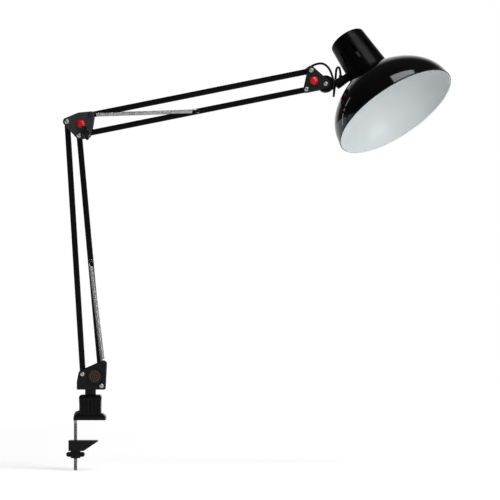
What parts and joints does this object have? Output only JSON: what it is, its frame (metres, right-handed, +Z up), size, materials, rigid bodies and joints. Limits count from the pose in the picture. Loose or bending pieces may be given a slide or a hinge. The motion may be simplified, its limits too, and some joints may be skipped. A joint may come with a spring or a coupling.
{
  "type": "architect lamp",
  "caption": "Table-clamp architect lamp: square-tube sprung arms with bracket joints, tilting neck and swivelling domed shade with a vented socket housing.",
  "frame": {"origin": "on the base swivel axis, on the underside of the clamp flange where it rests on the table top", "axes": "+Z up along the swivel post, +X along the arms towards the shade, -Y towards the front of the brackets"},
  "size_m": [0.5421, 0.172, 0.6192],
  "materials": {
    "black_plastic": "satin moulded",
    "housing_black": "satin paint",
    "arm_black": "satin paint",
    "shade_black": "gloss paint, white inside",
    "steel": "bright zinc",
    "red_caps": "gloss red",
    "roundel_bronze": "dark bronze, bare",
    "lead_rubber": "matt flexible",
    "holder": "moulded insulator",
    "contacts": "plain"
  },
  "bodies": {
    "clamp": {"clamp_body": "black_plastic", "hook_bolt": "steel"},
    "jaw": {"clamp_jaw": "black_plastic"},
    "nut": {"wing_nut": "black_plastic", "wing_nut_insert": "steel"},
    "turret": {"swivel_post": "black_plastic", "turret_plate_front": "black_plastic", "turret_plate_rear": "black_plastic", "turret_rivets": "black_plastic", "turret_tie": "black_plastic", "turret_roundel": "roundel_bronze", "turret_bolts": "steel", "turret_nuts": "steel", "turret_spacers": "black_plastic", "lower_spring_posts": "steel"},
    "lower_rear": {"lower_rear_bar": "arm_black"},
    "lower_front": {"lower_front_bar": "arm_black", "lower_spring_pin": "steel", "lower_spring_front": "steel", "lower_spring_rear": "steel"},
    "elbow": {"elbow_plate_front": "black_plastic", "elbow_plate_rear": "black_plastic", "elbow_tie": "black_plastic", "elbow_caps": "red_caps", "elbow_bolts": "steel", "elbow_nuts": "steel", "elbow_top_bolt": "steel", "elbow_top_nut": "steel", "elbow_spacers": "black_plastic", "elbow_knob_bolt": "steel"},
    "knob": {"elbow_knob": "black_plastic"},
    "upper_top": {"upper_top_bar": "arm_black", "lead_grommet": "lead_rubber"},
    "upper_bottom": {"upper_bottom_bar": "arm_black", "upper_spring_pin": "steel", "upper_spring_front": "steel", "upper_spring_rear": "steel"},
    "head_bracket": {"head_plate_front": "black_plastic", "head_plate_rear": "black_plastic", "head_tie": "black_plastic", "head_caps": "red_caps", "head_bolts": "steel", "head_nuts": "steel", "head_spacers": "black_plastic", "tilt_bolt": "steel", "tilt_nut": "steel", "head_lead": "lead_rubber"},
    "knuckle": {"knuckle": "black_plastic", "lead_gland": "lead_rubber", "swivel_stud": "steel", "swivel_nut": "steel"},
    "head": {"socket_housing": "housing_black", "housing_base": "black_plastic", "housing_screws": "steel", "shade": "shade_black", "shade_ring": "black_plastic", "lampholder": "holder", "screw_shell": "contacts", "centre_contact": "contacts"}
  },
  "joints": [
    {"name": "jaw_slide", "type": "slide", "parent": "clamp", "child": "jaw", "axis": [0, 0, 1], "range_m": [-0.016, 0.0256]},
    {"name": "nut_spin", "type": "hinge", "parent": "jaw", "child": "nut", "pos_m": [-0.021, 0, 0], "axis": [0, 0, 1], "range_deg": [-7290, 11610]},
    {"name": "base_swivel", "type": "hinge", "parent": "clamp", "child": "turret", "pos_m": [0, 0, 0], "axis": [0, 0, 1], "continuous": true},
    {"name": "lower_arm_tilt", "type": "hinge", "parent": "turret", "child": "lower_rear", "pos_m": [-0.01064, 0, 0.0644], "axis": [0, 1, 0], "range_deg": [-8, 50]},
    {"name": "lower_front_tilt", "type": "hinge", "parent": "turret", "child": "lower_front", "pos_m": [0.0161, 0, 0.048], "axis": [0, 1, 0], "range_deg": [-8.34, 51.1], "deforming": ["lower_spring_front", "lower_spring_rear"]},
    {"name": "elbow_link", "type": "hinge", "parent": "lower_rear", "child": "elbow", "pos_m": [-0.03251, 0, 0.41692], "axis": [0, 1, 0], "range_deg": [-66.4, 10.79]},
    {"name": "elbow_knob_turn", "type": "hinge", "parent": "elbow", "child": "knob", "pos_m": [-0.00535, 0, 0.40054], "axis": [0, 1, 0], "range_deg": [-180, 180]},
    {"name": "upper_arm_tilt", "type": "hinge", "parent": "elbow", "child": "upper_top", "pos_m": [0.00151, 0, 0.42686], "axis": [0, 1, 0], "range_deg": [-30, 55]},
    {"name": "upper_bottom_tilt", "type": "hinge", "parent": "elbow", "child": "upper_bottom", "pos_m": [-0.00535, 0, 0.40054], "axis": [0, 1, 0], "range_deg": [-30.2, 55.2], "deforming": ["upper_spring_front", "upper_spring_rear"]},
    {"name": "head_link", "type": "hinge", "parent": "upper_top", "child": "head_bracket", "pos_m": [0.30895, 0, 0.48846], "axis": [0, 1, 0], "range_deg": [-55.2, 30.2]},
    {"name": "head_tilt", "type": "hinge", "parent": "head_bracket", "child": "knuckle", "pos_m": [0.32897, 0, 0.4697], "axis": [0, 1, 0], "range_deg": [-40, 45], "deforming": ["head_lead"]},
    {"name": "head_swivel", "type": "hinge", "parent": "knuckle", "child": "head", "pos_m": [0.35812, 0, 0.47804], "axis": [0.8396, 0, 0.5432], "range_deg": [-60, 100]}
  ],
  "couplings": [
    {"joint": "nut_spin", "follows": "jaw_slide", "rad_per_m": 7854},
    {"joint": "lower_front_tilt", "follows": "lower_arm_tilt", "ratio": 1.018},
    {"joint": "elbow_link", "follows": "lower_arm_tilt", "ratio": -1.324},
    {"joint": "upper_bottom_tilt", "follows": "upper_arm_tilt", "ratio": 1},
    {"joint": "head_link", "follows": "upper_arm_tilt", "ratio": -1}
  ]
}
